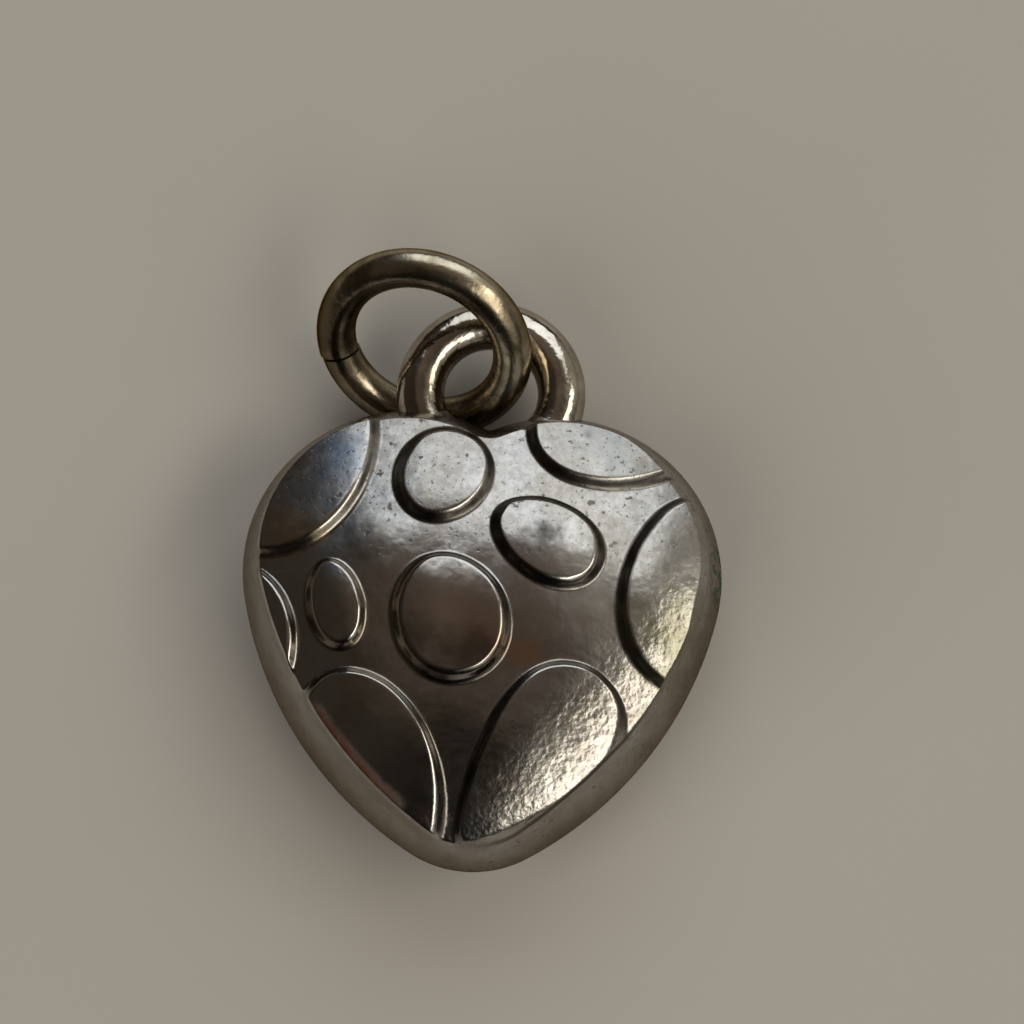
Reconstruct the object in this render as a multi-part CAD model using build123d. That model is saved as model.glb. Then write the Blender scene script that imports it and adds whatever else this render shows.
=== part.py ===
from build123d import *
from math import cos, hypot, pi, radians, sin, sqrt, tan
from typing import NamedTuple
import os

# A hollow puffed heart charm that lies on its back. Two struck shells meet at a soldered seam,
# a closed wire loop is soldered into the cleft, and an open jump ring is linked through the loop.
# Millimetres. The origin is the middle of the flat back, +Z is up and +Y points at the loop.

# Heart outline, at the seam
HEART_WIDTH = 12.74
HEART_HEIGHT = 12.42
LOBE_RADIUS = 4.42
SIDE_RADIUS = 10.2
TIP_RADIUS = 3.0
CLEFT_RADIUS = 0.25

# Shells
WALL = 0.5
BACK_DEPTH = 1.9        # flat back to the seam
FRONT_RISE = 2.6        # seam to the top of the bare front dome
DOME_RADIUS = 14.0
DOME_Y = 0.3            # top of the front dome, up from the middle of the heart
FLAT_RADIUS = 2.05      # flat that the charm rests on
RIM_DRAFT = 19.4        # lean of the rim, in degrees
BACK_RIM = 0.35         # rim below the seam, at the lobes' furthest points
BACK_ROUND = 0.35       # rounding between the rim and the back dome

# Pebble relief on the front
PAD_SIDE = 0.2          # a pad's side, in from its outline
PAD_RISE = 0.33
PAD_SLOPE = 0.25        # part of its rise that a pad has lost at the ends of its long axis

# Seam
SEAM_GAP = 0.08
SEAM_RECESS = 0.03
SEAM_FILLET = 0.12      # solder drawn past the inside of the wall

# Fixed loop
LOOP_BORE = 2.49
LOOP_WIRE = 1.28
LOOP_STAND = 0.57       # loop's centre above the tops of the lobes
SOLDER_FILL = 0.12      # solder round the wire in the mouth of the shells
LOOP_CLEARANCE = 0.03   # room round the wire inside the heart

# Jump ring
RING_BORE = 3.81
RING_WIRE = 1.05
RING_CUT = 0.13         # gap between the cut ends
RING_ROOM = 0.21        # spare height for the ring's wire under the loop
RING_GAP = 0.4          # ring's wire to the loop's, where it passes the middle of the loop's hole
RING_WAY = 29.1         # that place, in degrees round the loop from +X
RING_TILT = 53.6        # ring's plane to the floor, in degrees
RING_HEADING = -105.0   # way that its upper face looks, in degrees from +X
RING_CUT_AT = 207.0     # place of the cut round the ring, in degrees from its level line


class Pad(NamedTuple):
    """One pebble: an egg with its middle, half sizes, turn in degrees and taper towards one end."""
    x: float
    y: float
    half_length: float
    half_width: float
    turn: float
    taper: float


PADS = [
    Pad(-5.33, 4.73, 3.17, 2.49, 69, -0.10),
    Pad(-1.16, 3.97, 1.46, 1.35, 60, 0.06),
    Pad(3.39, 5.51, 2.47, 1.69, 4, -0.15),
    Pad(1.66, 2.25, 1.65, 1.20, -27, 0.11),
    Pad(5.74, 1.16, 2.86, 2.26, 94, -0.18),
    Pad(-0.78, 0.04, 1.84, 1.60, -65, 0.06),
    Pad(-3.80, 0.34, 1.32, 0.83, -74, 0.08),
    Pad(-6.23, -0.35, 2.10, 1.48, -70, 0.03),
    Pad(-2.80, -4.19, 3.01, 2.06, -68, 0.0),
    Pad(1.54, -3.56, 2.95, 1.59, 51, 0.43),
]

# Derived places
SEAM_Z = BACK_DEPTH
FRONT_TOP = SEAM_Z + FRONT_RISE
LOBE = Vector(HEART_WIDTH / 2 - LOBE_RADIUS, HEART_HEIGHT / 2 - LOBE_RADIUS)
TIP = Vector(0, TIP_RADIUS - HEART_HEIGHT / 2)
CLEFT = Vector(0, LOBE.Y + sqrt((LOBE_RADIUS + CLEFT_RADIUS) ** 2 - LOBE.X ** 2))
LOOP_RADIUS = (LOOP_BORE + LOOP_WIRE) / 2
LOOP_Z = RING_WIRE + RING_ROOM + LOOP_WIRE / 2
LOOP = Vector(0, HEART_HEIGHT / 2 + LOOP_STAND, LOOP_Z)
RING_RADIUS = (RING_BORE + RING_WIRE) / 2


def side_centre():
    """Centre of the right-hand side arc, which runs smoothly into the lobe and the tip."""
    to_lobe = SIDE_RADIUS - LOBE_RADIUS
    to_tip = SIDE_RADIUS - TIP_RADIUS
    span = TIP - LOBE
    along = (to_lobe ** 2 - to_tip ** 2 + span.length ** 2) / (2 * span.length)
    across = sqrt(to_lobe ** 2 - along ** 2)
    unit = span.normalized()
    return LOBE + unit * along + Vector(unit.Y, -unit.X) * across


SIDE = side_centre()


def heart(inset=0.0):
    """Face of the heart's outline, drawn in evenly by an inset."""
    to_tip = (TIP - SIDE).normalized()
    to_side = (LOBE - SIDE).normalized()
    to_cleft = (CLEFT - LOBE).normalized()
    lobe_r = LOBE_RADIUS - inset
    tip_end = TIP + to_tip * (TIP_RADIUS - inset)
    side_mid = SIDE + (to_tip + to_side).normalized() * (SIDE_RADIUS - inset)
    side_end = LOBE + to_side * lobe_r
    lobe_mid = LOBE + (to_side + to_cleft).normalized() * lobe_r
    lobe_end = LOBE + to_cleft * lobe_r
    tip_mid = TIP - Vector(0, TIP_RADIUS - inset)
    cleft_mid = CLEFT - Vector(0, CLEFT_RADIUS + inset)

    def left(p):
        return Vector(-p.X, p.Y)

    arcs = [
        ThreePointArc(left(tip_end), tip_mid, tip_end),
        ThreePointArc(tip_end, side_mid, side_end),
        ThreePointArc(side_end, lobe_mid, lobe_end),
        ThreePointArc(lobe_end, cleft_mid, left(lobe_end)),
        ThreePointArc(left(lobe_end), left(lobe_mid), left(side_end)),
        ThreePointArc(left(side_end), left(side_mid), left(tip_end)),
    ]
    return Face(Wire(arcs))


def block(near, far, inset=0.0):
    """Heart-shaped block between two heights, leaning in away from the seam."""
    lean = tan(radians(RIM_DRAFT))
    faces = [Pos(0, 0, z) * heart(inset + abs(z - SEAM_Z) * lean) for z in (near, far)]
    return loft(faces, ruled=True)


def ball(radius):
    """Ball about the middle of the front dome."""
    return Pos(0, DOME_Y, FRONT_TOP - DOME_RADIUS) * Sphere(radius)


def egg(pad, margin):
    """Face of a pad's outline, drawn in by a margin."""
    a = pad.half_length - margin
    b = pad.half_width - margin
    turns = [2 * pi * i / 20 for i in range(20)]
    points = [(a * cos(t), b * sin(t) * (1 + pad.taper * cos(t))) for t in turns]
    outline = Face(Wire([Spline(points, periodic=True)]))
    return Pos(pad.x, pad.y) * Rot(0, 0, pad.turn) * outline


def raised(face):
    """Column over a face, from inside the front wall to above the relief."""
    return extrude(Pos(0, 0, SEAM_Z + WALL) * face, FRONT_RISE + PAD_RISE)


def crown(pad):
    """Low dome of a pad."""
    curve = 1 / DOME_RADIUS + 2 * PAD_SLOPE * PAD_RISE / pad.half_length ** 2
    centre = Vector(0, DOME_Y, FRONT_TOP - DOME_RADIUS)
    foot = Vector(pad.x, pad.y - DOME_Y)
    up = Vector(foot.X, foot.Y, sqrt(DOME_RADIUS ** 2 - foot.length ** 2)).normalized()
    middle = centre + up * (DOME_RADIUS + PAD_RISE - 1 / curve)
    return raised(egg(pad, PAD_SIDE)) & (Pos(middle) * Sphere(1 / curve))


def hollow_front():
    """Front shell, bare and with its relief."""
    bottom = SEAM_Z + SEAM_GAP / 2
    outside = block(bottom, FRONT_TOP + PAD_RISE + WALL)
    inside = block(bottom, FRONT_TOP, WALL) & ball(DOME_RADIUS - WALL)
    struck = ball(DOME_RADIUS).fuse(*[crown(pad) for pad in PADS])
    return (outside & ball(DOME_RADIUS)) - inside, (outside & struck) - inside


def back_dome():
    """Height of the back dome's centre and its radius, from the flat and the foot of the rim."""
    foot = SEAM_Z - BACK_RIM
    reach = LOBE.length + LOBE_RADIUS - BACK_RIM * tan(radians(RIM_DRAFT))
    height = (reach ** 2 + foot ** 2 - FLAT_RADIUS ** 2) / (2 * foot)
    return height, hypot(height, FLAT_RADIUS)


def hollow_back():
    """Plain back shell, a shallow dome with a flat to rest on."""
    height, radius = back_dome()
    top = SEAM_Z - SEAM_GAP / 2
    middle = Pos(0, 0, height)
    outside = block(top, 0) & (middle * Sphere(radius))
    outside = fillet(outside.edges().filter_by(GeomType.BSPLINE), BACK_ROUND)
    inside = block(top, WALL, WALL) & (middle * Sphere(radius - WALL))
    return outside - inside


def loop_mouth():
    """Slot across the seam that the loop's wire passes through."""
    width = LOOP_BORE + 2 * LOOP_WIRE + 2 * SOLDER_FILL
    height = LOOP_WIRE + 2 * SOLDER_FILL
    low = LOOP.Y - LOOP_RADIUS
    depth = HEART_HEIGHT / 2 + WALL - low
    return Pos(0, low + depth / 2, LOOP_Z) * Box(width, depth, height)


def seam_band(outer, inner):
    """Flat band of solder between the shells' edges."""
    low = SEAM_Z - SEAM_GAP / 2
    return extrude(Pos(0, 0, low) * (heart(outer) - heart(inner)), SEAM_GAP)


def ring_seat():
    """Plane of the jump ring, which rests on the floor and passes through the loop's hole."""
    lean = radians(RING_TILT)
    heading = radians(RING_HEADING)
    face = Vector(sin(lean) * cos(heading), sin(lean) * sin(heading), cos(lean))
    level = Vector(-sin(heading), cos(heading), 0)
    way = radians(RING_WAY)
    passing = LOOP + Vector(cos(way), sin(way)) * ((LOOP_BORE - RING_WIRE) / 2 - RING_GAP)
    height = RING_RADIUS * sin(lean) + RING_WIRE / 2
    drop = (height - passing.Z) / sin(lean)
    centre = passing - level * sqrt(RING_RADIUS ** 2 - drop ** 2) + face.cross(level) * drop
    return Plane(origin=centre, x_dir=level, z_dir=face)


def jump_ring():
    """Round wire bent to a ring, with its cut ends apart."""
    cut = RING_CUT / RING_RADIUS * 180 / pi
    wire = revolve(Plane.XZ * Pos(RING_RADIUS, 0) * Circle(RING_WIRE / 2), Axis.Z, 360 - cut)
    return ring_seat().location * Rot(0, 0, RING_CUT_AT + cut / 2) * wire


hanging_loop = Pos(LOOP) * Torus(LOOP_RADIUS, LOOP_WIRE / 2)
loop_room = Pos(LOOP) * Torus(LOOP_RADIUS, LOOP_WIRE / 2 + LOOP_CLEARANCE)
bare_front, front = hollow_front()
back = hollow_back()
mouth = loop_mouth()
seam = seam_band(0, WALL)
fill = (bare_front & mouth).fuse(back & mouth, seam & mouth)

PARTS = {
    "front_shell": front - mouth - loop_room,
    "back_shell": back - mouth - loop_room,
    "seam_solder": seam_band(SEAM_RECESS, WALL + SEAM_FILLET) - mouth - loop_room,
    "hanging_loop": hanging_loop,
    "loop_solder": fill - hanging_loop,
    "jump_ring": jump_ring(),
}

os.makedirs("parts", exist_ok=True)
for name, shape in PARTS.items():
    export_step(shape, f"parts/{name}.step")
    print(name, len(shape.solids()), "solid", round(shape.volume, 3), "mm3")
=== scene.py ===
from math import atan2, cos, hypot, pi, radians, sin, sqrt, tan

import bmesh
import bpy
import numpy as np
from mathutils import Matrix, Quaternion, Vector
from mathutils.geometry import delaunay_2d_cdt


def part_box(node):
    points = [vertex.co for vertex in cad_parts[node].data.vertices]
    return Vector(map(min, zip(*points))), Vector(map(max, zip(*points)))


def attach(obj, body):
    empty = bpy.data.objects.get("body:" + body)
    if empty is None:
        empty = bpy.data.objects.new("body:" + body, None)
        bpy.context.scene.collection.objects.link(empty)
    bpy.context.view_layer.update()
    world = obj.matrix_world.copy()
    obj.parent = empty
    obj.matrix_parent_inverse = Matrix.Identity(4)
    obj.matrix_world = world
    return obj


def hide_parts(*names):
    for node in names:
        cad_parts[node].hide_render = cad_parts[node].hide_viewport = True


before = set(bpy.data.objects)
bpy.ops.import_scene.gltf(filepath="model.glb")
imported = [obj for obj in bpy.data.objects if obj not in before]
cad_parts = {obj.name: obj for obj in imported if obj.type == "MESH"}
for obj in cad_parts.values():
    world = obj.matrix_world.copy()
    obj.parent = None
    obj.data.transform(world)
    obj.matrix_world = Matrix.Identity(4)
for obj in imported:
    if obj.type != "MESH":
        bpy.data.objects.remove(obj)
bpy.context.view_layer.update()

# Sizes are in millimetres until a finished mesh is scaled to metres.
MM = 0.001

# Heart outline, at the seam
HEART_WIDTH = 12.74
HEART_HEIGHT = 12.42
LOBE_RADIUS = 4.42
SIDE_RADIUS = 10.2
TIP_RADIUS = 3.0
CLEFT_RADIUS = 0.25

# Shells
WALL = 0.5
SEAM_Z = 1.9
SEAM_GAP = 0.08
FRONT_TOP = 4.5
DOME_RADIUS = 14.0
DOME_Y = 0.3
RIM_LEAN = tan(radians(19.4))
RIM_BULGE = 0.02
EDGE_ROUND = 0.09       # rounded corner between the front face and the rim
EDGE_DROP = 1.1         # how far the corner falls, as a share of its round
RIGHT_EDGE_GAIN = 1.8   # the corner is rounder by this much on the right
BACK_RIM = 0.35
BACK_ROUND = 0.35
BACK_SETBACK = 0.42     # share of that round which it takes from the rim and from the dome
FLAT_RADIUS = 2.05

# Pebble relief on the front
PAD_RISE = 0.33         # ground to the top of a pad
PAD_SHOULDER = 0.25     # part of that rise in its rounded side
PAD_SIDE = 0.37         # width of the rounded side, in plan
PAD_BEND = 0.42         # share of the side that curves in at its foot, and out at its top
FOOT_LINE_WIDTH = 0.13       # dark line along its foot, part of the dirt and painted shade
BRIGHT_SIDE_WAY = (0.75, -0.66, 0.0)    # the sides that face this way, to the bright lower right, get no painted shade
DARK_SIDE_WAY = (-0.97, -0.24, 0.0)    # those that face this way, to the dark left, are painted dark all over as painted shade
NARROW_WAY = (0.30, 0.95, 0.0)     # those that face this way are narrower, by this share
NARROW_SHARE = 0.35
WANDER = 0.05           # how far a pad's outline strays from its egg
DENTS = 0.03            # depth of the shallow dents all over the front
STRUCK_FADE = 12        # how fast the relief dies away down the rim
MIDDLE_PAD = 1.6        # half width of the pad that has these sizes; larger pads stand higher

# Each pebble: its middle, half length, half width, turn in degrees and taper
PADS = [
    (-5.33, 4.73, 3.17, 2.49, 69, -0.10),
    (-1.16, 3.97, 1.46, 1.35, 60, 0.06),
    (3.39, 5.51, 2.47, 1.69, 4, -0.15),
    (1.66, 2.25, 1.65, 1.20, -27, 0.11),
    (5.74, 1.16, 2.86, 2.26, 94, -0.18),
    (-0.78, 0.04, 1.84, 1.60, -65, 0.06),
    (-3.80, 0.34, 1.32, 0.83, -74, 0.08),
    (-6.23, -0.35, 2.10, 1.48, -70, 0.03),
    (-2.80, -4.19, 3.01, 2.06, -68, 0.0),
    (1.54, -3.56, 2.95, 1.59, 51, 0.43),
]

# Wires: points along each, sides of the section, and the share of the ring's length that its burr takes
LOOP_POINTS = 180
RING_POINTS = 220
WIRE_SIDES = 48
BURR_SHARE = 1 / 60

# Solder up the legs of the loop: place round the loop in degrees, and its thickness on the wire there
COLLAR_ROWS = [
    (-60, 0.02), (-45, 0.04), (-34, 0.035), (-31, 0.025), (-29, 0.015), (-27.5, 0.005), (-26, -0.01),
]
COLLAR_SIDES = 40
COLLAR_LUMPS = 0.35

# Spacing of the front mesh: rings of points round each pad, then an even field of points
RING_MARGINS = np.append(np.arange(-0.06, 0.55, 0.021), (0.58, 0.63))
RING_STEP = 0.06
FIELD_STEP = 0.15
FIELD_ROOM = 0.6        # share of that step that a point of the field keeps from the rings
OUTLINE_STEP = 0.06
EDGE_ROWS = (0.02, 0.04, 0.06, 0.08, 0.1, 0.13, 0.16, 0.2, 0.24, 0.28, 0.33, 0.38)
RIM_ROWS = (0.98, 0.95, 0.9, 0.84, 0.75, 0.6, 0.45, 0.3, 0.15, 0.05, 0.0)
LEAST_GAP = 0.014       # points nearer than this to the edge are left out
LEAST_SPACE = 0.018     # and so are points in one cell of this size

# Blotches of tarnish on the front, among them a painted reflection and a patch of painted shade: place,
# radius, strength and colour
STAINS_AND_PAINTED_LIGHT = [
    (1.5, 2.45, 0.7, 1.0, (0.06, 0.058, 0.055, 1)),
    (1.15, -0.80, 0.5, 0.5, (0.46, 0.26, 0.13, 1)),
    (0.25, -0.45, 0.7, 0.35, (0.42, 0.24, 0.14, 1)),
    (-0.55, 0.15, 1.1, 0.45, (0.40, 0.29, 0.21, 1)),
    (-0.30, -0.85, 0.8, 0.85, (0.16, 0.135, 0.11, 1)),
    (-1.65, -0.45, 0.7, 0.7, (0.20, 0.17, 0.14, 1)),
    (-2.9, 2.2, 0.9, 0.7, (0.20, 0.18, 0.155, 1)),
    (2.62, 5.33, 0.24, 0.9, (0.07, 0.065, 0.06, 1)),
    (4.05, 4.72, 0.32, 0.6, (0.20, 0.15, 0.10, 1)),
    (3.2, 5.1, 1.5, 0.8, (0.25, 0.252, 0.245, 1)),
    # painted shade: a dull patch on the right pebble, darkening where the side lamp's reflection would spread
    (5.2, 0.1, 2.0, 0.95, (0.225, 0.216, 0.162, 1)),
    # painted reflection: a blue patch on the upper left pebble standing for the sky mirrored there
    (-3.95, 4.5, 0.8, 0.75, (0.17, 0.23, 0.32, 1)),
    (-5.0, 2.45, 1.0, 0.6, (0.50, 0.36, 0.20, 1)),
    (-4.9, 4.1, 1.1, 0.5, (0.24, 0.20, 0.17, 1)),
]
# and on the ring, painted shade over its left part
RING_PAINTED_SHADE = [
    (-4.5, 8.5, 1.9, 0.85, (0.075, 0.055, 0.032, 1)),
]
BROWNER_SHADE_AND_DIRT = (-2.7, 0.1, 2.3)        # where the dirt and painted shade are brown, not black: its place and reach
RUST = (-3.3, -3.9, 2.1)            # red line by the rim: its place and reach
VERDIGRIS = (6.35, 2.1, 1.95, 1.1)    # green bloom on the rim: its place and reach

# Camera: straight down, leaned towards the tip and turned, with the scale of the picture
VIEW_CENTRE = Vector((0.708, 3.538, 2.0))
VIEW_LEAN = radians(14)
VIEW_TURN = radians(-2.77)
VIEW_DISTANCE = 150.0
PIXELS_PER_MM = 37.6
PICTURE = 1024
SENSOR = 36.0


class Socket:
    """A socket of a node tree. Arithmetic on sockets adds the tree's Math nodes."""

    def __init__(self, tree, source):
        self.tree = tree
        self.source = source

    @classmethod
    def node(cls, tree, kind, settings=None, inputs=None, output=0):
        """Any node, its settings first and then the values or links of its sockets."""
        made = tree.nodes.new(kind)
        for name, value in (settings or {}).items():
            setattr(made, name, value)
        for key, value in (inputs or {}).items():
            if isinstance(value, cls):
                tree.links.new(value.source, made.inputs[key])
            else:
                made.inputs[key].default_value = value
        return cls(tree, made.outputs[output] if made.outputs else None)

    def out(self, name):
        return Socket(self.tree, self.source.node.outputs[name])

    def math(self, operation, *values):
        return Socket.node(self.tree, "ShaderNodeMath", {"operation": operation},
                           dict(enumerate((self,) + values)))

    def __add__(self, other):
        return self.math("ADD", other)

    __radd__ = __add__

    def __mul__(self, other):
        return self.math("MULTIPLY", other)

    __rmul__ = __mul__

    def __sub__(self, other):
        return self.math("SUBTRACT", other)

    def __rsub__(self, other):
        return Socket.node(self.tree, "ShaderNodeMath", {"operation": "SUBTRACT"}, {0: other, 1: self})

    def __truediv__(self, other):
        return self.math("DIVIDE", other)

    def __pow__(self, other):
        return self.math("POWER", other)

    def at_least(self, other):
        return self.math("MAXIMUM", other)

    def at_most(self, other):
        return self.math("MINIMUM", other)

    def root(self):
        return self.math("SQRT")

    def unit(self):
        """Held between 0 and 1."""
        return self.at_least(0.0).at_most(1.0)

    def step(self, low, high):
        """Smooth rise from 0 at low to 1 at high."""
        return Socket.node(self.tree, "ShaderNodeMapRange", {"interpolation_type": "SMOOTHSTEP"},
                           {"Value": self, "From Min": low, "From Max": high})


# Outlines

LOBE = Vector((HEART_WIDTH / 2 - LOBE_RADIUS, HEART_HEIGHT / 2 - LOBE_RADIUS))
TIP = Vector((0, TIP_RADIUS - HEART_HEIGHT / 2))
CLEFT = Vector((0, LOBE.y + sqrt((LOBE_RADIUS + CLEFT_RADIUS) ** 2 - LOBE.x ** 2)))


def side_centre():
    """Centre of the right-hand side arc, which runs smoothly into the lobe and the tip."""
    to_lobe = SIDE_RADIUS - LOBE_RADIUS
    to_tip = SIDE_RADIUS - TIP_RADIUS
    span = TIP - LOBE
    along = (to_lobe ** 2 - to_tip ** 2 + span.length_squared) / (2 * span.length)
    across = sqrt(to_lobe ** 2 - along ** 2)
    unit = span.normalized()
    return LOBE + unit * along + Vector((unit.y, -unit.x)) * across


def heart_outline(step):
    """Points round the heart at the seam and the way that each faces out."""
    side = side_centre()
    at_tip = atan2(*(TIP - side).yx)
    at_side = atan2(*(LOBE - side).yx)
    at_cleft = atan2(*(CLEFT - LOBE).yx)
    arcs = [
        (TIP, TIP_RADIUS, -pi / 2, at_tip, 1, step),
        (side, SIDE_RADIUS, at_tip, at_side, 1, step),
        (LOBE, LOBE_RADIUS, at_side, at_cleft, 1, step),
        (CLEFT, CLEFT_RADIUS, at_cleft - pi, -pi / 2, -1, step / 3),
    ]
    points = []
    facing = []
    for centre, radius, start, end, sign, spacing in arcs:
        count = max(3, round(abs(end - start) * radius / spacing))
        turns = np.linspace(start, end, count, endpoint=False)
        way = np.column_stack((np.cos(turns), np.sin(turns)))
        points.append(np.array(centre) + radius * way)
        facing.append(sign * way)
    bottom = np.array([[0.0, CLEFT.y - CLEFT_RADIUS]])
    right = np.vstack(points + [bottom])
    right_facing = np.vstack(facing + [np.array([[0.0, 1.0]])])
    flip = np.array([-1.0, 1.0])
    return np.vstack((right, right[-2:0:-1] * flip)), np.vstack((right_facing, right_facing[-2:0:-1] * flip))


def front_dome(xy, shrink=0.0):
    """Height of the bare front dome over points of the plan."""
    radius = DOME_RADIUS - shrink
    return FRONT_TOP - DOME_RADIUS + np.sqrt(radius ** 2 - xy[:, 0] ** 2 - (xy[:, 1] - DOME_Y) ** 2)


def back_dome_shape():
    """Height of the back dome's centre and its radius."""
    foot = SEAM_Z - BACK_RIM
    reach = LOBE.length + LOBE_RADIUS - BACK_RIM * RIM_LEAN
    height = (reach ** 2 + foot ** 2 - FLAT_RADIUS ** 2) / (2 * foot)
    return height, hypot(height, FLAT_RADIUS)


def drawn_in(points, facing, height_of):
    """Inset at which the leaning rim meets a dome, point by point."""
    inset = np.full(len(points), 0.3)
    for _ in range(12):
        inset = RIM_LEAN * np.abs(height_of(points - inset[:, None] * facing) - SEAM_Z)
    return inset


def egg_points(pad, margin, step):
    """Points round a pad's outline, drawn in by a margin."""
    x, y, half_length, half_width, turn, taper = pad
    a = half_length - margin
    b = half_width - margin
    count = max(12, round(2 * pi * sqrt((a * a + b * b) / 2) / step))
    t = np.arange(count) * 2 * pi / count
    u = a * np.cos(t)
    v = b * np.sin(t) * (1 + taper * np.cos(t))
    c, s = cos(radians(turn)), sin(radians(turn))
    return np.column_stack((x + u * c - v * s, y + u * s + v * c))


BATCH = 4000            # points that are measured at a time


def to_outline(points, loop):
    """Distance of points to a closed line, and whether they lie inside it."""
    start = loop
    end = np.roll(loop, -1, axis=0)
    span = end - start
    nearest = np.empty(len(points))
    inside = np.empty(len(points), dtype=bool)
    for low in range(0, len(points), BATCH):
        some = slice(low, low + BATCH)
        part = points[some, None, :]
        along = ((part - start) * span).sum(-1) / (span ** 2).sum(-1)
        foot = start + np.clip(along, 0, 1)[..., None] * span
        nearest[some] = np.sqrt(((part - foot) ** 2).sum(-1)).min(1)
        crosses = (start[:, 1] > part[..., 1]) != (end[:, 1] > part[..., 1])
        rise = np.where(span[:, 1] == 0, 1e-12, span[:, 1])
        at = start[:, 0] + (part[..., 1] - start[:, 1]) / rise * span[:, 0]
        inside[some] = (crosses & (part[..., 0] < at)).sum(1) % 2 == 1
    return nearest, inside


# Meshes

def bridge(near, far):
    """Quads between two closed rows of points."""
    count = len(near)
    return [(near[i], far[i], far[(i + 1) % count], near[(i + 1) % count]) for i in range(count)]


class Rows:
    """Closed rows of points, joined one after another."""

    def __init__(self, points=(), faces=()):
        self.points = list(points)
        self.faces = list(faces)
        self.last = None

    def start(self, indices):
        self.last = list(indices)

    def add(self, xy, z):
        base = len(self.points)
        heights = np.broadcast_to(z, len(xy))
        self.points += [(x, y, h) for (x, y), h in zip(xy, heights)]
        row = list(range(base, base + len(xy)))
        if self.last is not None:
            self.faces += bridge(self.last, row)
        self.last = row
        return row

    def close(self, point):
        """Fan from the last row to a point."""
        self.points.append(point)
        tip = len(self.points) - 1
        count = len(self.last)
        self.faces += [(self.last[i], tip, self.last[(i + 1) % count]) for i in range(count)]


def mesh_object(name, points, faces):
    mesh = bpy.data.meshes.new(name)
    mesh.from_pydata([tuple(p) for p in points], [], faces)
    mesh.validate()
    made = bpy.data.objects.new(name, mesh)
    bpy.context.scene.collection.objects.link(made)
    return made


def finish_mesh(made, material, body, nodes, sharp=50):
    """Outward faces, smooth shading, metres, and the piece's place in the frame."""
    mesh = made.data
    work = bmesh.new()
    work.from_mesh(mesh)
    bmesh.ops.recalc_face_normals(work, faces=work.faces)
    work.to_mesh(mesh)
    work.free()
    mesh.transform(Matrix.Scale(MM, 4))
    mesh.polygons.foreach_set("use_smooth", [True] * len(mesh.polygons))
    mesh.set_sharp_from_angle(angle=radians(sharp))
    mesh.materials.clear()
    mesh.materials.append(material)
    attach(made, body)
    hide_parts(*nodes)


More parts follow.
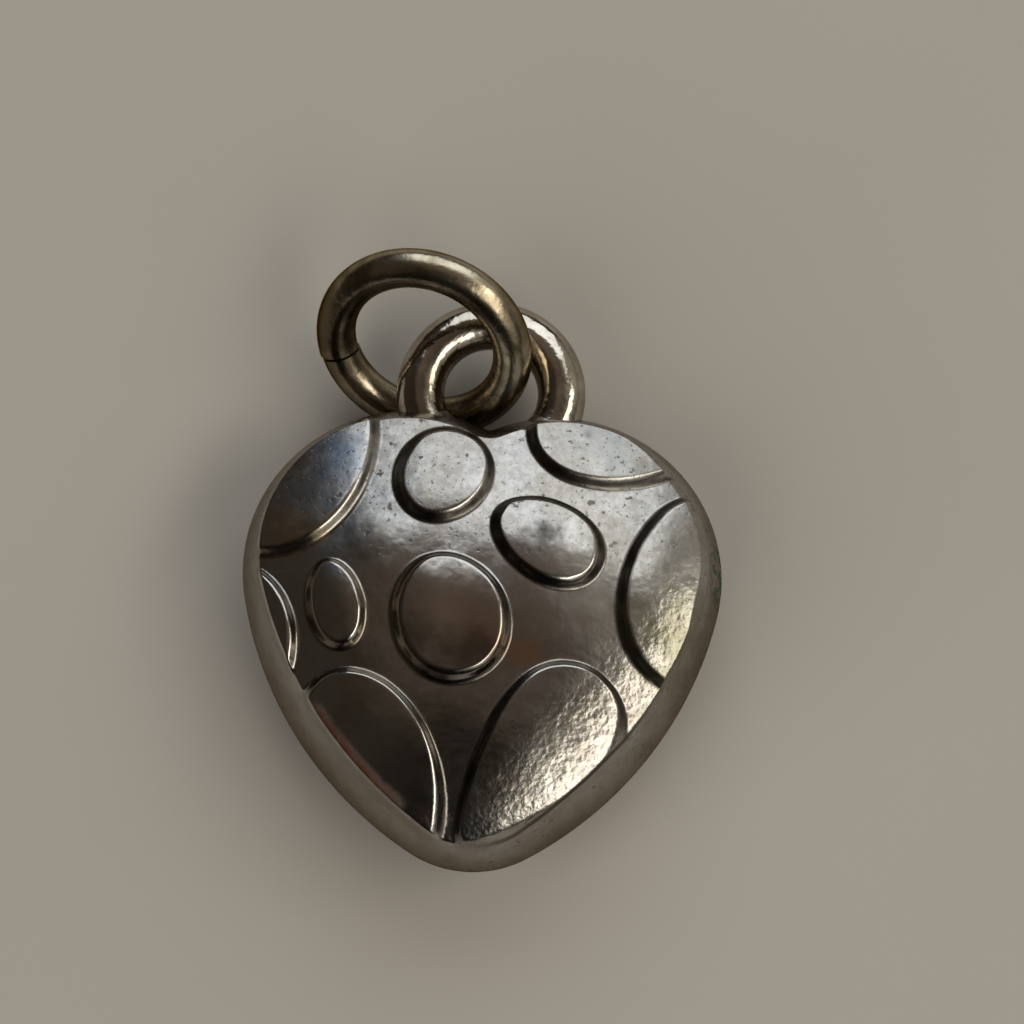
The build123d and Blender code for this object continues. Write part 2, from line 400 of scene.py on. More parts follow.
def front_blank():
    """Flat blank of the front shell, with its points set along the pads' lines for the relief."""
    points, facing = heart_outline(OUTLINE_STEP)
    inset = drawn_in(points, facing, front_dome)
    edge = points - inset[:, None] * facing
    rows = [edge]
    for depth in EDGE_ROWS:
        rows.append(edge - depth * facing)
    for pad in PADS:
        rows += [egg_points(pad, margin, RING_STEP) for margin in RING_MARGINS]
    across = np.arange(-HEART_WIDTH / 2, HEART_WIDTH / 2, FIELD_STEP)
    up = np.arange(-HEART_HEIGHT / 2, HEART_HEIGHT / 2, FIELD_STEP * sqrt(0.75))
    gx, gy = np.meshgrid(across, up)
    gx = gx + (np.arange(len(up)) % 2)[:, None] * FIELD_STEP / 2
    field = np.column_stack((gx.ravel(), gy.ravel()))
    rings = np.vstack(rows[1:])
    room = FIELD_STEP * FIELD_ROOM
    taken = {tuple(cell) for cell in np.round(rings / room).astype(int)}
    free = [tuple(cell) not in taken for cell in np.round(field / room).astype(int)]
    loose = np.vstack((rings, field[free]))
    gap, inside = to_outline(loose, edge)
    loose = loose[inside & (gap > LEAST_GAP)]
    _, first = np.unique(np.round(loose / LEAST_SPACE).astype(int), axis=0, return_index=True)
    loose = loose[np.sort(first)]
    plan = np.vstack((edge, loose))
    count = len(edge)
    ring_edges = [(i, (i + 1) % count) for i in range(count)]
    verts, _, faces, origin, _, _ = delaunay_2d_cdt([Vector(p) for p in plan], ring_edges, [], 1, 1e-7)
    place = {source: index for index, sources in enumerate(origin) for source in sources}
    flat = np.array([tuple(v) for v in verts])
    gap, _ = to_outline(flat, edge)
    gap[[place[i] for i in range(count)]] = 0.0

    shell = Rows([(x, y, 0.0) for x, y in flat], [tuple(f) for f in faces])
    foot = [flat]
    lift = [np.ones(len(flat))]
    struck = [np.ones(len(flat))]
    depth = [gap]

    def row(xy, z, rise, at):
        shell.add(xy, z)
        foot.append(at)
        lift.append(np.full(len(xy), rise))
        struck.append(np.full(len(xy), rise ** STRUCK_FADE))
        depth.append(np.zeros(len(xy)))

    low = SEAM_Z + SEAM_GAP / 2
    seam = points - SEAM_GAP / 2 * RIM_LEAN * facing
    shell.start([place[i] for i in range(count)])
    for rise in RIM_ROWS:
        bulge = RIM_BULGE * 4 * rise * (1 - rise)
        row(edge * rise + seam * (1 - rise) + bulge * facing, low, rise, edge)
    wall_in = points - (WALL + SEAM_GAP / 2 * RIM_LEAN) * facing
    row(wall_in, low, 0.0, wall_in)
    top_inset = drawn_in(points, facing, lambda xy: front_dome(xy, WALL))
    top_in = points - (WALL + top_inset)[:, None] * facing
    for scale in (1.0, 0.8, 0.55, 0.3, 0.1):
        xy = top_in * scale
        row(xy, front_dome(xy, WALL), 0.0, xy)
    middle = np.zeros((1, 2))
    shell.close((0.0, 0.0, float(front_dome(middle, WALL)[0])))
    foot.append(middle)
    lift.append(np.zeros(1))
    struck.append(np.zeros(1))
    depth.append(np.zeros(1))

    blank = mesh_object("front_shell_relief", shell.points, shell.faces)
    foot = np.vstack(foot)
    stored = {
        "foot": ("FLOAT_VECTOR", "vector", np.column_stack((foot, np.zeros(len(foot)))).ravel()),
        "lift": ("FLOAT", "value", np.concatenate(lift)),
        "struck": ("FLOAT", "value", np.concatenate(struck)),
        "edge": ("FLOAT", "value", np.concatenate(depth)),
    }
    for name, (kind, field_name, values) in stored.items():
        attribute = blank.data.attributes.new(name, kind, "POINT")
        attribute.data.foreach_set(field_name, values.astype(np.float32))
    return blank


def node_tree(name, inputs, outputs):
    """Geometry tree with named inputs and outputs. Gives the tree and its inputs."""
    tree = bpy.data.node_groups.new(name, "GeometryNodeTree")
    for label, kind in inputs.items():
        tree.interface.new_socket(label, in_out="INPUT", socket_type="NodeSocket" + kind)
    for label, kind in outputs.items():
        tree.interface.new_socket(label, in_out="OUTPUT", socket_type="NodeSocket" + kind)
    entry = tree.nodes.new("NodeGroupInput")
    return tree, {label: Socket(tree, entry.outputs[label]) for label in inputs}


PAD_SIZES = {"Pad Rise": PAD_RISE, "Pad Shoulder": PAD_SHOULDER, "Pad Side": PAD_SIDE,
             "Foot Line Width": FOOT_LINE_WIDTH}


def pad_relief():
    """Height that one pebble adds, a low dome with a rounded side, and the dirt and painted shade along that
    side.
    """
    inputs = {"Foot": "Vector", "Wander": "Float", "Centre": "Vector", "Half Length": "Float",
              "Half Width": "Float", "Turn": "Float", "Taper": "Float"}
    inputs.update({name: "Float" for name in PAD_SIZES})
    tree, size = node_tree("pad_relief", inputs, {"Height": "Float", "Shade And Dirt": "Float"})
    offset = Socket.node(tree, "ShaderNodeVectorMath", {"operation": "SUBTRACT"},
                         {0: size["Foot"], 1: size["Centre"]})
    local = Socket.node(tree, "ShaderNodeVectorRotate", {"rotation_type": "Z_AXIS"},
                        {"Vector": offset, "Angle": 0.0 - size["Turn"]})
    u = Socket.node(tree, "ShaderNodeSeparateXYZ", {}, {0: local}, "X")
    v = u.out("Y")
    a = size["Half Length"]
    b = (size["Half Width"] * (1.0 + size["Taper"] * u / a)).at_least(size["Half Width"] * 0.3)
    spread = ((u / a) ** 2.0 + (v / b) ** 2.0).root()
    steep = ((u / (a * a)) ** 2.0 + (v / (b * b)) ** 2.0).root().at_least(1e-5)
    depth = (1.0 - spread) * spread / steep + size["Wander"]
    facing = Socket.node(tree, "ShaderNodeCombineXYZ", {}, {0: u / (a * a) / steep, 1: v / (b * b) / steep})
    facing = Socket.node(tree, "ShaderNodeVectorRotate", {"rotation_type": "Z_AXIS"},
                         {"Vector": facing, "Angle": size["Turn"]})

    def towards(way):
        return Socket.node(tree, "ShaderNodeVectorMath", {"operation": "DOT_PRODUCT"},
                           {0: facing, 1: way}, "Value")

    inner = (depth / (size["Pad Side"] * (1.0 - towards(NARROW_WAY).step(0.2, 0.9) * NARROW_SHARE))).unit()

    def climb(share):
        """Height gained where the slope grows over the bend and then stays full."""
        bent = share.at_least(0.0).at_most(PAD_BEND)
        return bent * bent / (2 * PAD_BEND) + (share - PAD_BEND).at_least(0.0)

    shoulder = (climb(inner) - climb(inner - (1 - PAD_BEND))) / (1 - PAD_BEND) * size["Pad Shoulder"]
    crown = (1.0 - spread * spread).at_least(0.0) * (size["Pad Rise"] - size["Pad Shoulder"]) * inner
    height = shoulder + crown
    half = size["Foot Line Width"] * 0.5
    # Mask of dirt and painted shade: a dark line along the foot, a band of painted shade up the side that is
    # left off where the side faces the bright lower right, and the whole side painted dark where it faces the
    # dark left.
    crease = (1.0 - ((depth - half * 1.1) / half) ** 2.0).at_least(0.0)
    bright_side = towards(BRIGHT_SIDE_WAY).step(0.55, 0.88)
    middle = inner.step(0.10, 0.26) * inner.step(0.88, 0.72) * (1.0 - bright_side)
    dark_side = towards(DARK_SIDE_WAY).step(0.2, 0.6)
    whole = inner.step(0.0, 0.12) * inner.step(1.0, 0.86) * dark_side
    shade_and_dirt = crease.at_least(middle).at_least(whole)
    Socket.node(tree, "NodeGroupOutput", {}, {"Height": height, "Shade And Dirt": shade_and_dirt})
    return tree


def pebbled_front(material):
    """Front shell: the blank raised to the dome, with every pebble's relief."""
    blank = front_blank()
    sizes = {"Dome Radius": DOME_RADIUS, "Dome Top": FRONT_TOP, "Dome Y": DOME_Y, "Edge Round": EDGE_ROUND}
    sizes.update(PAD_SIZES)
    inputs = {"Geometry": "Geometry", "Finish": "Material"}
    inputs.update({name: "Float" for name in sizes})
    tree, size = node_tree("pebbled_front", inputs, {"Geometry": "Geometry"})

    def stored_on_blank(name, kind="FLOAT"):
        return Socket.node(tree, "GeometryNodeInputNamedAttribute", {"data_type": kind}, {"Name": name})

    foot = stored_on_blank("foot", "FLOAT_VECTOR")
    lift = stored_on_blank("lift")
    edge = stored_on_blank("edge")
    struck = stored_on_blank("struck")
    x = Socket.node(tree, "ShaderNodeSeparateXYZ", {}, {0: foot}, "X")
    y = x.out("Y") - size["Dome Y"]
    radius = size["Dome Radius"]
    height = size["Dome Top"] - radius + (radius * radius - x * x - y * y).root()
    stray = Socket.node(tree, "ShaderNodeTexNoise", {}, {"Vector": foot, "Scale": 0.9, "Detail": 2.0}) - 0.5
    wander = stray * WANDER
    dents = Socket.node(tree, "ShaderNodeTexNoise", {}, {"Vector": foot, "Scale": 0.75, "Detail": 1.5}) - 0.5
    relief = dents * DENTS
    group = pad_relief()
    shade_and_dirt = None
    for px, py, half_length, half_width, turn, taper in PADS:
        links = {"Foot": foot, "Wander": wander, "Centre": (px, py, 0.0), "Half Length": half_length,
                 "Half Width": half_width, "Turn": radians(turn), "Taper": taper}
        links.update({name: size[name] for name in PAD_SIZES})
        bulk = (half_width / MIDDLE_PAD) ** 0.25
        for name in ("Pad Rise", "Pad Shoulder", "Pad Side"):
            links[name] = size[name] * bulk
        pad = Socket.node(tree, "GeometryNodeGroup", {"node_tree": group}, links, "Height")
        relief = relief + pad
        shade_and_dirt = pad.out("Shade And Dirt") if shade_and_dirt is None else shade_and_dirt.at_least(pad.out("Shade And Dirt"))
    edge_round = size["Edge Round"] * (1.0 + x.step(3.4, 5.0) * y.step(-0.5, 1.0) * RIGHT_EDGE_GAIN)
    soft = ((edge_round - edge) / edge_round).at_least(0.0)
    height = height - soft * soft * edge_round * EDGE_DROP
    here = Socket.node(tree, "GeometryNodeInputPosition")
    here_x = Socket.node(tree, "ShaderNodeSeparateXYZ", {}, {0: here}, "X")
    here_z = here_x.out("Z")
    raised_z = here_z + lift * (height - here_z) + struck * relief
    raised = Socket.node(tree, "ShaderNodeCombineXYZ", {}, {0: here_x, 1: here_x.out("Y"), 2: raised_z})
    placed = Socket.node(tree, "GeometryNodeSetPosition", {},
                         {"Geometry": size["Geometry"], "Position": raised})
    # Dirt and painted shade of all the pebbles, fading down the rim and weaker right by the edge, stored for
    # the finish.
    faded_shade_and_dirt = shade_and_dirt * struck ** 3.0 * (0.2 + edge.step(0.0, 0.25) * 0.8)
    stored = Socket.node(tree, "GeometryNodeStoreNamedAttribute", {"data_type": "FLOAT", "domain": "POINT"},
                         {"Geometry": placed, "Name": "shade_and_dirt", "Value": faded_shade_and_dirt})
    real = Socket.node(tree, "GeometryNodeRealizeInstances", {}, {"Geometry": stored})
    done = Socket.node(tree, "GeometryNodeSetMaterial", {}, {"Geometry": real, "Material": size["Finish"]})
    Socket.node(tree, "NodeGroupOutput", {}, {"Geometry": done})
    return grown(blank, tree, dict(sizes, Finish=material))


def grown(made, tree, values):
    """The object with its tree's result as a plain mesh."""
    modifier = made.modifiers.new("grow", "NODES")
    modifier.node_group = tree
    for item in tree.interface.items_tree:
        if item.in_out == "INPUT" and item.name in values:
            modifier[item.identifier] = values[item.name]
    depsgraph = bpy.context.evaluated_depsgraph_get()
    mesh = bpy.data.meshes.new_from_object(made.evaluated_get(depsgraph), depsgraph=depsgraph)
    made.modifiers.remove(modifier)
    old = made.data
    made.data = mesh
    bpy.data.meshes.remove(old)
    mesh.name = made.name
    return made


def back_plain():
    """Back shell: the rim, a rounded corner, a shallow dome and the flat it rests on."""
    points, facing = heart_outline(OUTLINE_STEP * 1.6)
    centre, radius = back_dome_shape()

    def dome(xy, shrink=0.0):
        rise = np.sqrt((radius - shrink) ** 2 - (xy ** 2).sum(1))
        return np.maximum(centre - rise, shrink)

    high = SEAM_Z - SEAM_GAP / 2
    inset = drawn_in(points, facing, dome)
    edge = points - inset[:, None] * facing
    edge_z = dome(edge)
    setback = BACK_ROUND * BACK_SETBACK
    wall_end = edge + setback * RIM_LEAN * facing
    wall_z = edge_z + setback
    away = edge / np.linalg.norm(edge, axis=1)[:, None]
    dome_start = edge - setback * away
    dome_z = dome(dome_start)
    top = points - SEAM_GAP / 2 * RIM_LEAN * facing
    shell = Rows()
    seam = shell.add(top, high)
    for share in (0.1, 0.5, 0.9, 1.0):
        shell.add(top * (1 - share) + wall_end * share, high * (1 - share) + wall_z * share)
    for t in (0.17, 0.33, 0.5, 0.67, 0.83, 1.0):
        a, b, c = (1 - t) ** 2, 2 * t * (1 - t), t * t
        shell.add(wall_end * a + edge * b + dome_start * c, wall_z * a + edge_z * b + dome_z * c)
    for scale in np.linspace(0.97, 0.06, 34):
        xy = dome_start * scale
        shell.add(xy, dome(xy))
    shell.close((0.0, 0.0, 0.0))
    shell.start(seam)
    inner = points - (WALL + SEAM_GAP / 2 * RIM_LEAN) * facing
    shell.add(inner, high)
    inset = drawn_in(points, facing, lambda xy: dome(xy, WALL))
    bottom = points - (WALL + inset)[:, None] * facing
    for scale in (1.0, 0.75, 0.5, 0.25):
        xy = bottom * scale
        shell.add(xy, dome(xy, WALL))
    shell.close((0.0, 0.0, WALL))
    return mesh_object("back_shell_dome", shell.points, shell.faces)


def wire_tree(name, closed):
    """Round wire bent to a ring about Z. An open one has a cut, with its ends a little out of line."""
    inputs = {"Geometry": "Geometry", "Finish": "Material", "Bend Radius": "Float", "Wire": "Float",
              "Cut": "Float", "End Step": "Float", "Burr": "Float"}
    tree, size = node_tree(name, inputs, {"Geometry": "Geometry"})
    if closed:
        path = Socket.node(tree, "GeometryNodeCurvePrimitiveCircle", {},
                           {"Resolution": LOOP_POINTS, "Radius": size["Bend Radius"]})
    else:
        path = Socket.node(tree, "GeometryNodeCurveArc", {},
                           {"Resolution": RING_POINTS, "Radius": size["Bend Radius"],
                            "Start Angle": size["Cut"] * 0.5, "Sweep Angle": 2 * pi - size["Cut"]})
        share = Socket.node(tree, "GeometryNodeSplineParameter", {}, {}, "Factor")
        way = share * 2.0 - 1.0
        cube = way * way * way
        step = Socket.node(tree, "ShaderNodeCombineXYZ", {}, {2: cube * cube * cube * size["End Step"] * 0.5})
        path = Socket.node(tree, "GeometryNodeSetPosition", {}, {"Geometry": path, "Offset": step})
        flare = 1.0 + (1.0 - (1.0 - share) / BURR_SHARE).unit() ** 2.0 * size["Burr"]
        path = Socket.node(tree, "GeometryNodeSetCurveRadius", {}, {"Curve": path, "Radius": flare})
    section = Socket.node(tree, "GeometryNodeCurvePrimitiveCircle", {},
                          {"Resolution": WIRE_SIDES, "Radius": size["Wire"] * 0.5})
    links = {"Curve": path, "Profile Curve": section, "Fill Caps": True}
    swept = Socket.node(tree, "GeometryNodeCurveToMesh", {}, links)
    real = Socket.node(tree, "GeometryNodeRealizeInstances", {}, {"Geometry": swept})
    done = Socket.node(tree, "GeometryNodeSetMaterial", {}, {"Geometry": real, "Material": size["Finish"]})
    Socket.node(tree, "NodeGroupOutput", {}, {"Geometry": done})
    return tree


def bent_wire(name, tree, values, place):
    made = grown(mesh_object(name, [(0, 0, 0)], []), tree, values)
    made.data.transform(place)
    return made


# Finishes

def material_tree(name):
    material = bpy.data.materials.new(name)
    material.use_nodes = True
    tree = material.node_tree
    tree.nodes.clear()
    return material, tree


WARM_GLANCE = (0.8, 0.77, 0.72, 1)
DIM_GLANCE = (0.30, 0.25, 0.18, 1)
BLACK_SHADE_AND_DIRT = (0.030, 0.022, 0.015, 1)
BROWN_SHADE_AND_DIRT = (0.17, 0.132, 0.095, 1)
DARK_EDGE_LINE = (0.05, 0.04, 0.03, 1)
RUST_RED = (0.19, 0.07, 0.038, 1)
VERDIGRIS_GREEN = (0.006, 0.038, 0.021, 1)
PIT_GREY = (0.05, 0.045, 0.04, 1)
FILM_TINT = (0.60, 0.55, 0.47, 1)
FROST_TINT = (0.5, 0.5, 0.51, 1)
RIM_TINT = (0.44, 0.375, 0.28, 1)
SKIN_DEPTH = 0.014      # height of the cast skin that the bump stands for
WIRE_TOOTH = 0.5        # how much of that skin the wires have


def worn_plate(name, bright, dull, roughness, grain, pits, stains_and_painted_light=(), rim=False, glance=WARM_GLANCE):
    """Silver-tone plate: cloudy tone, dirt and painted shade on the pebbles' feet and sides, stains with
    patches of painted light among them, dark pits, scratches and a cast skin.
    """
    material, tree = material_tree(name)
    here = Socket.node(tree, "ShaderNodeTexCoord", {}, {}, "Object")
    spot = Socket.node(tree, "ShaderNodeVectorMath", {"operation": "SCALE"}, {0: here, "Scale": 1 / MM})

    def noise(scale, detail=3.0, rough=0.55, vector=spot, seed=0.0):
        return Socket.node(tree, "ShaderNodeTexNoise", {"noise_dimensions": "4D"},
                           {"Vector": vector, "W": seed, "Scale": scale, "Detail": detail,
                            "Roughness": rough})

    def mix(share, first, second, blend="MIX"):
        return Socket.node(tree, "ShaderNodeMix", {"data_type": "RGBA", "blend_type": blend},
                           {0: share, 6: first, 7: second}, 2)

    def attribute(label):
        return Socket.node(tree, "ShaderNodeAttribute", {"attribute_name": label}, {}, "Fac")

    x = Socket.node(tree, "ShaderNodeSeparateXYZ", {}, {0: spot}, "X")
    y = x.out("Y")
    z = x.out("Z")

    def far_from(px, py):
        return ((x - px) * (x - px) + (y - py) * (y - py)).root()

    upper = (y * 0.3 - 0.1).unit() if rim else 0.0
    cloud = noise(0.45, 4.0, 0.6).step(0.36, 0.66)
    film = noise(2.6, 5.0, 0.65, seed=2.0).step(0.40, 0.72)
    frost = noise(5.0, 4.0, 0.7, seed=6.0).step(0.38, 0.62)
    tone = mix(cloud, bright, dull)
    tone = mix(film * 0.4, tone, FILM_TINT, "MULTIPLY")
    tone = mix(frost * (0.1 + upper * 0.35), tone, FROST_TINT, "MULTIPLY")
    # Dirt and painted shade from the pebbles' mask: black, and brown near one place.
    shade_and_soil = (attribute("shade_and_dirt") * (0.45 + 0.9 * noise(1.7, 4.0, seed=5.0))).unit()
    px, py, reach = BROWNER_SHADE_AND_DIRT
    thin = (far_from(px, py) / reach).step(1.05, 0.7)
    tone = mix(shade_and_soil * 0.9, tone, mix(thin, BLACK_SHADE_AND_DIRT, BROWN_SHADE_AND_DIRT))
    ragged = noise(1.3, 4.0, 0.6, seed=8.0)
    # Stains, and the patches of painted reflection and painted shade listed among them.
    for sx, sy, radius, share, colour in stains_and_painted_light:
        blotch = (far_from(sx, sy) / radius + (ragged - 0.5) * 2.2).step(1.1, 0.1)
        tone = mix(blotch * share, tone, colour)
    tooth = WIRE_TOOTH
    pitted = 0.6
    crust = 0.0
    metal = 1.0
    if rim:
        tooth = ((x - y) * 0.25 - 0.6).unit()
        pitted = 0.06 + 0.94 * upper + 0.5 * tooth
        face = attribute("lift")
        tone = mix(1.0 - face, tone, RIM_TINT, "MULTIPLY")
        px, py, reach = RUST
        along = (1.0 - far_from(px, py) / reach).unit().step(0.0, 0.3)
        edge = attribute("edge")
        rust = edge.step(0.02, 0.06) * edge.step(0.42, 0.10) * along * (ragged * 4.0 - 0.9).unit()
        tone = mix(rust * 0.9, tone, RUST_RED)
        # A dark line just inside the front's edge, on the lower right only.
        low_right = (x * 0.5 + 0.2).unit() * (y * -0.6 - 0.8).unit()
        line = edge.step(0.0, 0.02) * edge.step(0.10, 0.05) * low_right
        tone = mix(line * 0.85, tone, DARK_EDGE_LINE)
        px, py, pz, reach = VERDIGRIS
        near = ((x - px) * (x - px) + (y - py) * (y - py) + (z - pz) * (z - pz)).root() / reach
        green = (2.0 - near * 2.0).unit() * noise(3.2, 4.0, 0.7, seed=11.0).step(0.47, 0.53)
        tone = mix(green, tone, VERDIGRIS_GREEN)
        crust = (green + rust).unit()
        metal = 1.0 - green.step(0.5, 1.0) * 0.9
    speck = noise(4.2, 2.0, 0.5, seed=9.0).step(0.64, 0.72)
    fleck = noise(10.0, 2.0, 0.5, seed=4.0).step(0.61, 0.71)
    pit = ((speck + fleck * 0.8) * pitted * pits).unit()
    tone = mix(pit * 0.8, tone, PIT_GREY)
    scratch_way = Socket.node(tree, "ShaderNodeMapping", {},
                              {"Vector": spot, "Rotation": (0, 0, 0.6), "Scale": (0.35, 9.0, 0.35)})
    scratch = noise(1.0, 3.0, 0.6, scratch_way, 7.0).step(0.62, 0.74)
    skin = noise(4.0, 2.0, 0.5, seed=1.0)
    fine = noise(11.0, 2.0, 0.5, seed=12.0)
    dimple = Socket.node(tree, "ShaderNodeTexVoronoi", {"feature": "SMOOTH_F1"},
                         {"Vector": spot, "Scale": 6.5, "Smoothness": 0.5}, "Distance")
    coarse = noise(1.6, 2.0, 0.5, seed=3.0)
    rough = roughness + film * 0.08 + upper * 0.1 + tooth * 0.12
    rough = rough + pit * 0.1 + shade_and_soil * 0.12 + crust * 0.6 + scratch * 0.06
    cast = skin * (0.15 + tooth * 1.3) + dimple * tooth * 0.5 + fine * tooth * 0.5 + coarse
    height = cast * grain - pit * 0.18 - scratch * 0.02
    bump = Socket.node(tree, "ShaderNodeBump", {},
                       {"Strength": 1.0, "Distance": SKIN_DEPTH * MM, "Height": height}, "Normal")
    inputs = {"Base Color": tone, "Metallic": metal, "Roughness": rough.unit(), "Normal": bump,
              "Specular Tint": glance}
    shader = Socket.node(tree, "ShaderNodeBsdfPrincipled", {}, inputs)
    Socket.node(tree, "ShaderNodeOutputMaterial", {}, {"Surface": shader})
    return material


CARD_DARK = (0.36, 0.334, 0.30, 1)
CARD_PALE = (0.385, 0.36, 0.326, 1)


def plain_floor():
    """Pale matt card."""
    material, tree = material_tree("pale_card")
    here = Socket.node(tree, "ShaderNodeTexCoord", {}, {}, "Object")
    cloud = Socket.node(tree, "ShaderNodeTexNoise", {}, {"Vector": here, "Scale": 60.0, "Detail": 4.0})
    tone = Socket.node(tree, "ShaderNodeMix", {"data_type": "RGBA"},
                       {0: cloud, 6: CARD_DARK, 7: CARD_PALE}, 2)
    shader = Socket.node(tree, "ShaderNodeBsdfPrincipled", {}, {"Base Color": tone, "Roughness": 0.9})
    Socket.node(tree, "ShaderNodeOutputMaterial", {}, {"Surface": shader})
    return material


# Pieces

shell_finish = worn_plate("worn_silver_plate", (0.46, 0.45, 0.435, 1), (0.36, 0.335, 0.305, 1),
                          roughness=0.12, grain=1.0, pits=1.0, stains_and_painted_light=STAINS_AND_PAINTED_LIGHT, rim=True)
loop_finish = worn_plate("worn_loop_wire", (0.56, 0.515, 0.45, 1), (0.31, 0.265, 0.215, 1),
                         roughness=0.06, grain=1.0, pits=0.3)
ring_finish = worn_plate("tarnished_ring_wire", (0.52, 0.455, 0.345, 1), (0.20, 0.16, 0.105, 1),
                         roughness=0.16, grain=0.7, pits=0.25, stains_and_painted_light=RING_PAINTED_SHADE, glance=DIM_GLANCE)
solder_finish = worn_plate("soft_solder", (0.33, 0.30, 0.265, 1), (0.22, 0.19, 0.155, 1),
                           roughness=0.28, grain=1.2, pits=0.4)

front = pebbled_front(shell_finish)
finish_mesh(front, shell_finish, "charm", ["front_shell"])

back = back_plain()
finish_mesh(back, shell_finish, "charm", ["back_shell"])


def box_of(node):
    low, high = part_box(node)
    return Vector(low) / MM, Vector(high) / MM


loop_low, loop_high = box_of("hanging_loop")
LOOP_WIRE = loop_high.z - loop_low.z
LOOP_RADIUS = (loop_high.x - loop_low.x - LOOP_WIRE) / 2
LOOP_CENTRE = (loop_low + loop_high) / 2
loop = bent_wire("loop_wire", wire_tree("closed_wire", True),
                 {"Bend Radius": LOOP_RADIUS, "Wire": LOOP_WIRE, "Finish": loop_finish},
                 Matrix.Translation(LOOP_CENTRE))
finish_mesh(loop, loop_finish, "charm", ["hanging_loop"])

RING_WIRE = 1.05
RING_RADIUS = 2.43
RING_CUT = 0.13
RING_TILT = radians(53.6)
RING_HEADING = radians(-105.0)
RING_CUT_AT = radians(207.0)
RING_END_STEP = 0.08    # how far the cut ends are out of line
RING_BURR = 0.07        # share by which the wire swells at one cut end
RING_CENTRE = LOOP_CENTRE + Vector((-1.8508, 1.1699, 0))
RING_CENTRE.z = RING_RADIUS * sin(RING_TILT) + RING_WIRE / 2
face = Vector((sin(RING_TILT) * cos(RING_HEADING), sin(RING_TILT) * sin(RING_HEADING), cos(RING_TILT)))
level = Vector((-sin(RING_HEADING), cos(RING_HEADING), 0))
seat = Matrix((level, face.cross(level), face)).transposed().to_4x4()
ring = bent_wire("ring_wire", wire_tree("open_wire", False),
                 {"Bend Radius": RING_RADIUS, "Wire": RING_WIRE, "Cut": RING_CUT / RING_RADIUS,
                  "End Step": RING_END_STEP, "Burr": RING_BURR, "Finish": ring_finish},
                 Matrix.Translation(RING_CENTRE) @ seat @ Matrix.Rotation(RING_CUT_AT, 4, "Z"))
finish_mesh(ring, ring_finish, "ring", ["jump_ring"])


def solder_collars():
    """Solder drawn a little way up each leg of the loop where it leaves the heart."""
    shell = Rows()
    for side in (-1, 1):
        shell.last = None
        ends = []
        for turn, thick in COLLAR_ROWS:
            at = radians(turn) if side > 0 else pi - radians(turn)
            out = Vector((cos(at), sin(at), 0))
            middle = LOOP_CENTRE + out * LOOP_RADIUS
            turns = np.arange(COLLAR_SIDES) * 2 * pi / COLLAR_SIDES
            lumps = 1 + COLLAR_LUMPS * np.sin(3 * turns + side) * (thick > 0)
            radius = LOOP_WIRE / 2 + thick * lumps
            away = radius * np.cos(turns)
            xy = np.column_stack((middle.x + out.x * away, middle.y + out.y * away))
            ends.append((shell.add(xy, middle.z + radius * np.sin(turns)), middle))
        for row, middle in (ends[0], ends[-1]):
            shell.start(row)
            shell.close(tuple(middle))
    return mesh_object("solder_collars", shell.points, shell.faces)


collars = solder_collars()
finish_mesh(collars, solder_finish, "charm", ["loop_solder"], sharp=180)

seam = bpy.data.objects["seam_solder"]
seam.data.materials.clear()
seam.data.materials.append(solder_finish)

# Stage

FLOOR_REACH = 2.0       # metres
floor_corners = [(x * FLOOR_REACH, y * FLOOR_REACH, 0.0) for x, y in ((-1, -1), (1, -1), (1, 1), (-1, 1))]
floor = mesh_object("floor_card", floor_corners, [(0, 1, 2, 3)])
floor.data.materials.append(plain_floor())

WINDOW_WAY = Vector((0.10, 0.78, 0.62)).normalized()
SIDE_WAY = Vector((0.64, -0.20, 0.74)).normalized()
FILL_WAY = Vector((-0.6, -0.6, 0.55)).normalized()

# Soft glows of the room: the way to each, where it starts and fills as a cosine, and its colour
GLOWS = [
    ((0.05, 0.30, 0.95), 0.80, 0.99, (0.12, 0.090, 0.070, 1)),
    ((-0.75, 0.15, 0.65), 0.40, 0.95, (0.045, 0.036, 0.025, 1)),
    ((-0.42, 0.62, 0.66), 0.97, 0.995, (0.04, 0.075, 0.13, 1)),
    ((0.68, 0.45, 0.58), 0.78, 0.97, (0.26, 0.245, 0.21, 1)),
    ((0.60, -0.50, 0.62), 0.80, 0.98, (0.55, 0.51, 0.43, 1)),
    ((0.90, 0.36, 0.20), 0.80, 0.97, (0.20, 0.19, 0.16, 1)),
]


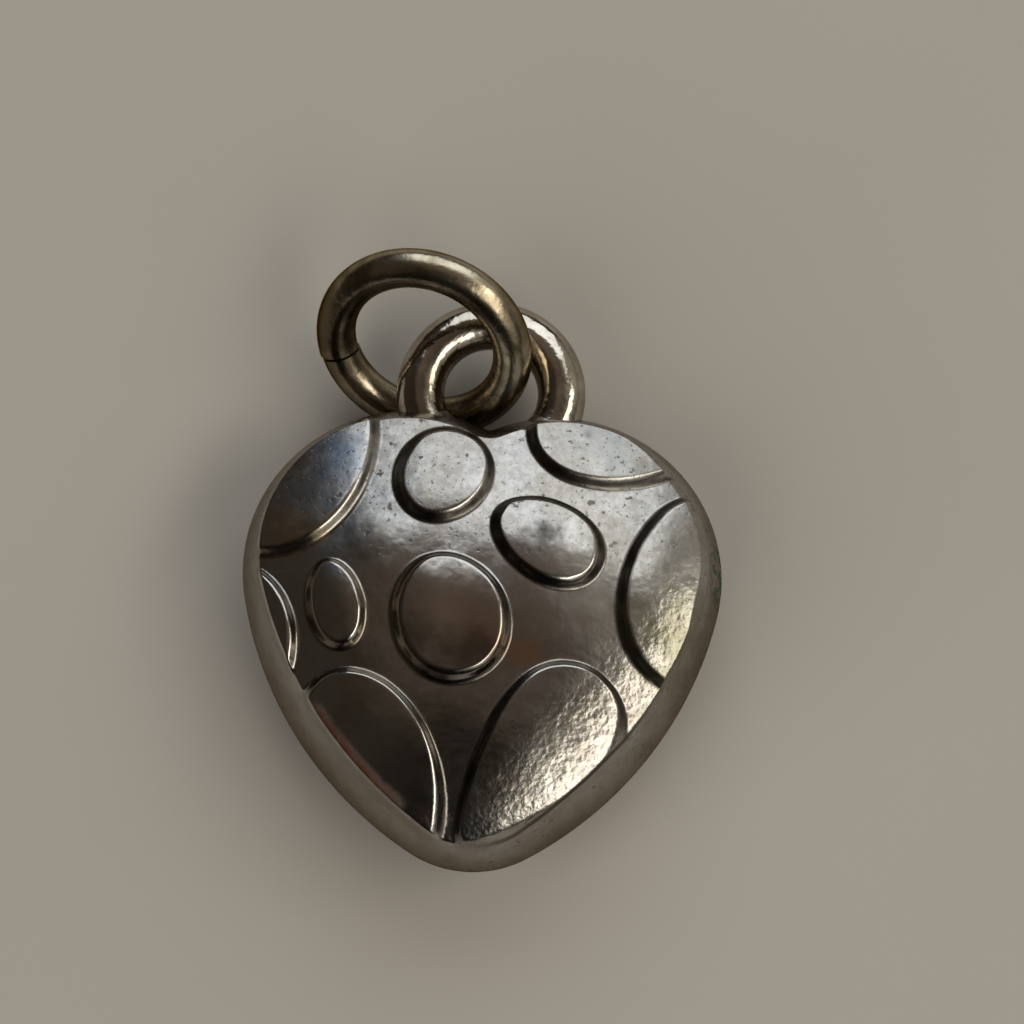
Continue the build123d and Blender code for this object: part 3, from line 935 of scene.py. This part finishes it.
def soft_room():
    """Dark room with a few soft glows, as the plate mirrors them."""
    world = bpy.data.worlds.new("soft_room")
    world.use_nodes = True
    tree = world.node_tree
    tree.nodes.clear()
    way = Socket.node(tree, "ShaderNodeTexCoord", {}, {}, "Generated")
    tone = (0.006, 0.005, 0.005, 1)
    for towards, low, high, colour in GLOWS:
        facing = Socket.node(tree, "ShaderNodeVectorMath", {"operation": "DOT_PRODUCT"},
                             {0: way, 1: tuple(Vector(towards).normalized())}, "Value")
        tone = Socket.node(tree, "ShaderNodeMix", {"data_type": "RGBA", "blend_type": "ADD"},
                           {0: facing.step(low, high), 6: tone, 7: colour}, 2)
    shade = Socket.node(tree, "ShaderNodeBackground", {}, {"Color": tone})
    Socket.node(tree, "ShaderNodeOutputWorld", {}, {"Surface": shade})
    return world


def soft_box(name, way, distance, width, height, level, colour, mirrored=True, roll=0.0):
    """Area lamp that faces the charm, with its brightness as seen in a mirror."""
    lamp = bpy.data.lights.new(name, "AREA")
    lamp.shape = "RECTANGLE"
    lamp.size = width
    lamp.size_y = height
    lamp.energy = level * pi * width * height
    lamp.color = colour
    made = bpy.data.objects.new(name, lamp)
    bpy.context.scene.collection.objects.link(made)
    made.location = way * distance
    made.rotation_euler = (way.to_track_quat("Z", "Y") @ Quaternion((0, 0, 1), roll)).to_euler()
    made.visible_camera = False
    made.visible_glossy = mirrored


bpy.context.scene.world = soft_room()
soft_box("window_light", WINDOW_WAY, distance=0.4, width=0.42, height=0.33, level=1.7,
         colour=(0.92, 0.97, 1.0))
soft_box("side_light", SIDE_WAY, distance=0.4, width=0.50, height=0.13, level=3.6, colour=(1.0, 0.94, 0.82),
         roll=radians(-9))
soft_box("floor_fill", FILL_WAY, distance=0.5, width=0.5, height=0.5, level=1.9, colour=(1.0, 0.97, 0.92),
         mirrored=False)

back_way = Vector((0, -sin(VIEW_LEAN), cos(VIEW_LEAN)))
right_way = Vector((1, 0, 0))
up_way = back_way.cross(right_way)
turned_right = right_way * cos(VIEW_TURN) - up_way * sin(VIEW_TURN)
turned_up = right_way * sin(VIEW_TURN) + up_way * cos(VIEW_TURN)
camera_data = bpy.data.cameras.new("view")
camera_data.sensor_width = SENSOR
camera_data.lens = SENSOR * PIXELS_PER_MM * VIEW_DISTANCE / PICTURE
camera_data.clip_start = 0.005
camera = bpy.data.objects.new("view", camera_data)
bpy.context.scene.collection.objects.link(camera)
axes = Matrix((turned_right, turned_up, back_way)).transposed().to_4x4()
camera.matrix_world = Matrix.Translation((VIEW_CENTRE + back_way * VIEW_DISTANCE) * MM) @ axes
bpy.context.scene.camera = camera

bpy.context.scene.view_settings.view_transform = "Standard"
